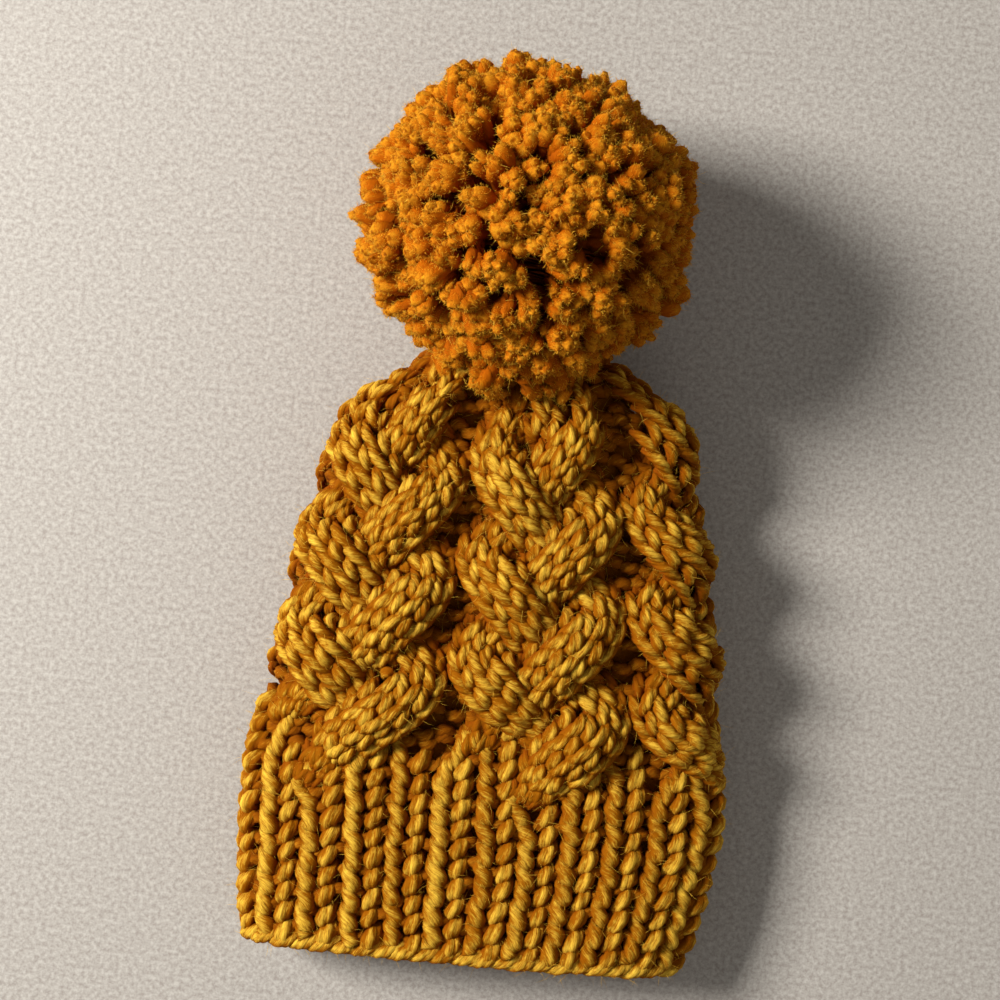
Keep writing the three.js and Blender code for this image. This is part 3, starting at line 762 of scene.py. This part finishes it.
def fuzz(name, sources, count, length, reach, radius):
    """Fine fibres that stand off the yarn's surface."""
    spots, facing = [], []
    for piece in sources:
        size = len(piece.data.vertices) * 3
        co, normal = np.zeros(size, np.float32), np.zeros(size, np.float32)
        piece.data.vertices.foreach_get("co", co)
        piece.data.vertices.foreach_get("normal", normal)
        spots.append(co.reshape(-1, 3) / MM)
        facing.append(normal.reshape(-1, 3))
    spots, facing = np.concatenate(spots), np.concatenate(facing)
    chosen = rng.choice(len(spots), count, replace=False)
    root, out = spots[chosen].astype(float), unit(facing[chosen].astype(float))
    aside = unit(np.cross(out, rng.normal(size=(count, 3))))
    direction = unit(out * rng.uniform(0.15, 0.9, (count, 1)) * reach + aside)
    size = rng.uniform(0.4, 1.2, count) ** 1.5 * length
    return spikes(name, root - out * 0.3, direction, size, rng.uniform(0.7, 1.3, count) * radius)


# ---------------------------------------------------------------- materials
# How far each part of the wool's look moves its colour along the ramp.
# streaks and flecks are partly the yarn's own mottling, partly painted glints and tiny shadows
# between fibres
STREAK_AND_GLINT_WEIGHT, FLECK_GLINT_AND_SHADE_WEIGHT, PAINTED_LIGHT_WEIGHT = 0.95, 0.40, 1.25
TONE_WEIGHT, DYE_WEIGHT = 0.16, 0.50
MIX_MIDDLE = 1.49
RAMP_LOW, RAMP_MIDDLE, RAMP_HIGH = 0.10, 0.52, 1.0
PLY_BUMP = 3.8              # height of the plies in the bump, against their weight in the colour as painted groove shade
BUMP_DISTANCE = 0.0010
WOOL_SPECULAR = 0.05
TABLE_DARK, TABLE_LIGHT = (0.315, 0.282, 0.258), (0.51, 0.49, 0.455)


def node(tree, kind, **inputs):
    made = tree.nodes.new(kind)
    for key, value in inputs.items():
        socket = made.inputs[key.replace("_", " ")]
        if isinstance(value, bpy.types.NodeSocket):
            tree.links.new(value, socket)
        else:
            socket.default_value = value
    return made


def maths(tree, operation, first, second):
    made = tree.nodes.new("ShaderNodeMath")
    made.operation = operation
    for socket, value in zip(made.inputs, (first, second)):
        if isinstance(value, bpy.types.NodeSocket):
            tree.links.new(value, socket)
        else:
            socket.default_value = value
    return made.outputs[0]


def attribute(tree, name):
    made = tree.nodes.new("ShaderNodeAttribute")
    made.attribute_name = name
    return made


def ply_relief(tree, fibre):
    """1 on the crown of each ply and 0 in the groove between two, from the yarn's own angle."""
    parts = tree.nodes.new("ShaderNodeSeparateXYZ")
    tree.links.new(fibre, parts.inputs[0])
    angle = maths(tree, "ARCTAN2", parts.outputs["Y"], parts.outputs["X"])
    waver = node(tree, "ShaderNodeTexNoise", Vector=fibre, Scale=0.8, Detail=2.0)
    angle = maths(tree, "ADD", angle, maths(tree, "MULTIPLY", waver.outputs["Fac"], 0.5))
    angle = maths(tree, "SUBTRACT", angle, 0.25)
    wave = maths(tree, "COSINE", maths(tree, "MULTIPLY", angle, PLIES / 2), 0.0)
    return maths(tree, "POWER", maths(tree, "ABSOLUTE", wave, 0.0), PLY_FULLNESS)


def wool(name, shaded_colour, mid, light, streak_scale=1.3, shift=0.0, plied=0.08):
    """Plied wool: fibre streaks along the twist, partly painted glints, painted shade in the
    grooves, on undersides and hidden parts, painted light on crests, and uneven dye.

    shift lightens it, and plied is how strongly the plies show, in the bump and as painted shade
    in the grooves between them.
    """
    material = bpy.data.materials.new(name)
    material.use_nodes = True
    tree = material.node_tree
    shader = tree.nodes["Principled BSDF"]
    fibre = attribute(tree, "fibre").outputs["Vector"]
    # painted light and shade carried on the mesh moves the colour along the ramp
    painted_light = attribute(tree, "painted_light").outputs["Fac"]
    tone = attribute(tree, "tone").outputs["Fac"]
    place = tree.nodes.new("ShaderNodeTexCoord").outputs["Object"]
    ply = ply_relief(tree, fibre)
    streak = node(tree, "ShaderNodeTexNoise", Vector=fibre, Scale=streak_scale, Detail=5.0,
                  Roughness=0.7)
    fleck = node(tree, "ShaderNodeTexNoise", Vector=fibre, Scale=streak_scale * 2.3, Detail=3.0)
    dye = node(tree, "ShaderNodeTexNoise", Vector=place, Scale=190.0, Detail=4.0, Roughness=0.6)
    # streak and fleck: the yarn's mottling plus painted glints and tiny shadows between fibres
    mix = maths(tree, "MULTIPLY", streak.outputs["Fac"], STREAK_AND_GLINT_WEIGHT)
    # the ply grooves darken the colour as painted shade
    for value, weight in ((fleck.outputs["Fac"], FLECK_GLINT_AND_SHADE_WEIGHT), (ply, plied),
                          (painted_light, PAINTED_LIGHT_WEIGHT), (tone, TONE_WEIGHT),
                          (dye.outputs["Fac"], DYE_WEIGHT)):
        mix = maths(tree, "ADD", mix, maths(tree, "MULTIPLY", value, weight))
    mix = maths(tree, "SUBTRACT", mix, MIX_MIDDLE - shift)
    ramp = tree.nodes.new("ShaderNodeValToRGB")
    tree.links.new(mix, ramp.inputs["Fac"])
    # the low stop is the painted shade colour and the high stop the painted light colour
    stops = ramp.color_ramp.elements
    stops[0].position, stops[0].color = RAMP_LOW, (*shaded_colour, 1)
    stops[1].position, stops[1].color = RAMP_HIGH, (*light, 1)
    middle = stops.new(RAMP_MIDDLE)
    middle.color = (*mid, 1)
    tree.links.new(ramp.outputs["Color"], shader.inputs["Base Color"])
    rough = node(tree, "ShaderNodeMapRange", Value=fleck.outputs["Fac"])
    rough.inputs["To Min"].default_value = 0.62
    rough.inputs["To Max"].default_value = 0.95
    tree.links.new(rough.outputs["Result"], shader.inputs["Roughness"])
    height = maths(tree, "ADD", maths(tree, "MULTIPLY", streak.outputs["Fac"], 0.55),
                   maths(tree, "MULTIPLY", fleck.outputs["Fac"], 0.3))
    height = maths(tree, "ADD", height, maths(tree, "MULTIPLY", ply, plied * PLY_BUMP))
    relief = node(tree, "ShaderNodeBump", Height=height, Strength=1.0, Distance=BUMP_DISTANCE)
    tree.links.new(relief.outputs["Normal"], shader.inputs["Normal"])
    shader.inputs["Specular IOR Level"].default_value = WOOL_SPECULAR
    return material


def laminate():
    """Pale, faintly mottled table top."""
    material = bpy.data.materials.new("pale_surface")
    material.use_nodes = True
    tree = material.node_tree
    shader = tree.nodes["Principled BSDF"]
    place = tree.nodes.new("ShaderNodeTexCoord").outputs["Object"]
    mottle = node(tree, "ShaderNodeTexNoise", Vector=place, Scale=520.0, Detail=5.0,
                  Roughness=0.75)
    ramp = tree.nodes.new("ShaderNodeValToRGB")
    tree.links.new(mottle.outputs["Fac"], ramp.inputs["Fac"])
    stops = ramp.color_ramp.elements
    stops[0].position, stops[0].color = 0.37, (*TABLE_DARK, 1)
    stops[1].position, stops[1].color = 0.63, (*TABLE_LIGHT, 1)
    tree.links.new(ramp.outputs["Color"], shader.inputs["Base Color"])
    shader.inputs["Roughness"].default_value = 0.6
    return material


# ---------------------------------------------------------------- assembly
def fit_out(piece, material, body, slot, *nodes):
    piece.data.materials.append(material)
    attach(piece, body)
    if nodes:
        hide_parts(*nodes)
    return piece


# Each yarn's colour in painted shade (grooves, undersides, tucked and hidden parts), on its body,
# and in painted light on its crests.
HAT_WOOL = wool("hat_wool", (0.25, 0.058, 0.0004), (0.31, 0.100, 0.0007), (0.98, 0.635, 0.066),
                shift=-0.13)
# painted shade: a darker copy of the hat's yarn, for stitches down in the valleys and the small
# yarns by the tie
SHADED_WOOL = wool("shaded_ground_wool", (0.15, 0.032, 0.0003), (0.29, 0.083, 0.0008), (0.70, 0.34, 0.022))
# painted shade: a darker copy of the yarn, for the sheet behind the stitches
SHADED_BACK_WOOL = wool("shaded_backing_wool", (0.18, 0.040, 0.0003), (0.29, 0.083, 0.0008), (0.45, 0.17, 0.006),
                 plied=0.0, shift=0.3)
POM_WOOL = wool("pom_wool", (0.32, 0.062, 0.0004), (0.44, 0.102, 0.0004), (0.76, 0.33, 0.014),
                streak_scale=1.4, plied=0.0, shift=0.06)
# painted shade: a darker copy of the pom yarn for its packed middle
SHADED_CORE_WOOL = wool("pom_core_shaded_wool", (0.26, 0.050, 0.0003), (0.40, 0.10, 0.0006), (0.55, 0.20, 0.006),
                 plied=0.0, shift=0.3)
# painted light: paler copies of the yarn colour for the rim-lit halo of fine fibres
LIT_FIBRE_WOOL = wool("loose_fibre_lit", (0.48, 0.16, 0.003), (0.80, 0.36, 0.015), (0.98, 0.64, 0.08),
                  plied=0.0, shift=0.2)
LIT_POM_FIBRE = wool("frayed_fibre_lit", (0.50, 0.12, 0.001), (0.80, 0.26, 0.003), (0.99, 0.56, 0.045),
                 plied=0.0, shift=0.25)


def build_hat():
    wobble = wander(RIB_PAIRS, 0.72)
    shown = [fit_out(cast_on_chain(), HAT_WOOL, "hat", "wool_raised", "cast_on_edge")]
    beads = Yarns()
    rib_beads(beads, wobble)
    shown.append(fit_out(beads.mesh("rib_stitches"), HAT_WOOL, "hat", "wool", "ribbed_band"))
    for k in range(5):
        piece = plait_piece(k, wobble)
        shown.append(fit_out(piece, HAT_WOOL, "hat", "wool_raised", f"plait_{k + 1}"))
    ground = valley_piece("purl_stitches", RIB_TOP + 2, 214, 46, -2.0, 3.4)
    shown.append(fit_out(ground, SHADED_WOOL, "hat", "wool_deep", "purl_ground"))
    valleys = valley_piece("rib_valley_stitches", 5, RIB_TOP + 6, 50, -2.0, 3.4)
    fit_out(valleys, SHADED_WOOL, "hat", "wool_deep")
    top = valley_piece("crown_stitches", 214, 240, 34, -2.4, 2.8)
    shown.append(fit_out(top, HAT_WOOL, "hat", "wool", "gathered_crown"))
    fit_out(lining("knit_backing", 2.5, 240, -3.7, -6.8), SHADED_BACK_WOOL, "hat", "wool_deep")
    fit_out(inner_ropes(), HAT_WOOL, "hat", "wool")
    for k in (1, 2):
        loose = fuzz(f"hat_fibres_{k}", shown, 18000, 6.0, 1.2, 0.06)
        fit_out(loose, LIT_FIBRE_WOOL, "hat", "wool_raised")


def centre_of(name):
    low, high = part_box(name)
    return np.array((low + high) / 2) / MM


SMALL_TURN = 7.0            # length of one turn of the plies in the small yarns
LOOP_RADIUS, EYE_RADIUS, WINDING_RADIUS = 11.5, 2.6, 5.0
TAIL_LOW, TAIL_HIGH, TAIL_TURN, TAIL_APART = 4.8, 42.8, 18, 1.55
END_INSET = 2.3             # from a yarn end's box to the middle of its yarn


def small_yarn(name, path, radius, body):
    yarns = Yarns()
    yarns.add(path[0], path[1], radius, sides=12, turn=SMALL_TURN)
    piece = yarns.mesh(name, lay=False)
    return fit_out(piece, SHADED_WOOL, body, "wool_deep", name)


def renamed(piece, name):
    piece.name = name
    return piece


def build_tie():
    gather = ring_path(centre_of("gather_yarn"), LOOP_RADIUS, (0, 1, 0))
    renamed(small_yarn("gather_yarn", gather, 2.0, "hat"), "gather_loop")
    eye = ring_path(CINCH, EYE_RADIUS, (1, 0, 0), steps=41)
    renamed(small_yarn("tie_eye", eye, 1.3, "tie_loop"), "tie_loop_yarn")
    tails = Yarns()
    t = np.linspace(TAIL_LOW, TAIL_HIGH, 60)[:, None]
    side = np.array([1.0, 0, 0])
    up = np.cross(TURN_AXIS, side)
    for start in (0, math.pi):
        spin = t / TAIL_TURN * TAU + start
        out = np.cos(spin) * side + np.sin(spin) * up
        tails.add(CINCH + TURN_AXIS * t + out * TAIL_APART, out, 1.45, sides=12, turn=8.0)
    fit_out(tails.mesh("tie_tail_yarn", lay=False), SHADED_WOOL, "tie_twist", "wool_deep",
            "tie_tails")
    winding = Yarns()
    for k in (-1.3, 1.3):
        points, out = ring_path(centre_of("pom_binding") + TURN_AXIS * k, WINDING_RADIUS,
                                TURN_AXIS, steps=49)
        winding.add(points, out, 1.3, sides=10, turn=SMALL_TURN)
    fit_out(winding.mesh("pom_winding", lay=False), SHADED_WOOL, "pom", "wool_deep", "pom_binding")
    knot = knot_path(centre_of("inside_knot") - np.array([0, 4.0, 0]), 5.2)
    renamed(small_yarn("inside_knot", knot, 1.7, "hat"), "inside_knot_yarn")
    for name in ("crown_yarn_end", "cast_on_yarn_end"):
        low, high = (np.array(corner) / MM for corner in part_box(name))
        crown = name == "crown_yarn_end"
        start = np.array([low[0] + END_INSET, high[1],
                          high[2] - END_INSET if crown else low[2] + 2.2])
        end = np.array([high[0] - END_INSET, low[1], low[2] + END_INSET])
        path = line_path(start, end, (2.0, 0, 0))
        renamed(small_yarn(name, path, 2.1, "hat"), name.replace("yarn_end", "tail"))


def build_pom():
    shown = []
    for k, (piece, ply, size) in enumerate(pom_strands()):
        replaced = ["pom_ball"] if k == 0 else []
        shown.append(fit_out(piece, POM_WOOL, "pom", "pom_wool", *replaced))
        ends = frayed_ends(f"pom_frayed_ends_{k + 1}", ply, size)
        fit_out(ends, LIT_POM_FIBRE, "pom", "pom_wool")
    fit_out(pom_core(), SHADED_CORE_WOOL, "pom", "pom_wool")
    fit_out(fuzz("pom_fibres", shown, 9000, 5.0, 1.6, 0.075), LIT_FIBRE_WOOL, "pom", "pom_wool")


# ---------------------------------------------------------------- stage
CAMERA_AT = (-0.0017, 0.0048, 0.747)
CAMERA_ROLL = math.radians(4.9)
CAMERA_LENS = 66.0
FLOOR_HALF = 2.5
# Name, place in metres, size, power and colour.
LIGHTS = (
    ("window", (-1.45, 0.42, 1.25), 0.6, 66.0, (1.0, 0.965, 0.91)),
    ("fill", (0.9, -0.9, 1.4), 1.6, 3.0, (1.0, 0.95, 0.88)),
)
WORLD_COLOUR, WORLD_STRENGTH = (0.92, 0.89, 0.84, 1), 0.21


def build_stage():
    mesh = bpy.data.meshes.new("floor")
    h = FLOOR_HALF
    mesh.from_pydata([(-h, -h, 0), (h, -h, 0), (h, h, 0), (-h, h, 0)], [], [(0, 1, 2, 3)])
    floor = bpy.data.objects.new("floor", mesh)
    bpy.context.scene.collection.objects.link(floor)
    mesh.materials.append(laminate())

    camera = bpy.data.objects.new("camera", bpy.data.cameras.new("camera"))
    camera.data.lens = CAMERA_LENS
    camera.data.clip_start = 0.02
    camera.location = CAMERA_AT
    camera.rotation_euler = Euler((0, 0, CAMERA_ROLL))
    bpy.context.scene.collection.objects.link(camera)
    bpy.context.scene.camera = camera


def add_light(name, at, size, power, colour):
    light = bpy.data.lights.new(name, "AREA")
    light.size = size
    light.energy = power
    light.color = colour
    lamp = bpy.data.objects.new(name, light)
    lamp.location = at
    direction = -np.array(at) / np.linalg.norm(at)
    lamp.rotation_euler = Vector(direction).to_track_quat("-Z", "Y").to_euler()
    bpy.context.scene.collection.objects.link(lamp)


def build_lights():
    for lamp in LIGHTS:
        add_light(*lamp)
    world = bpy.data.worlds.new("studio")
    world.use_nodes = True
    background = world.node_tree.nodes["Background"]
    background.inputs["Color"].default_value = WORLD_COLOUR
    background.inputs["Strength"].default_value = WORLD_STRENGTH
    bpy.context.scene.world = world
    bpy.context.scene.view_settings.view_transform = "Standard"


build_stage()
build_lights()
build_hat()
build_tie()
build_pom()
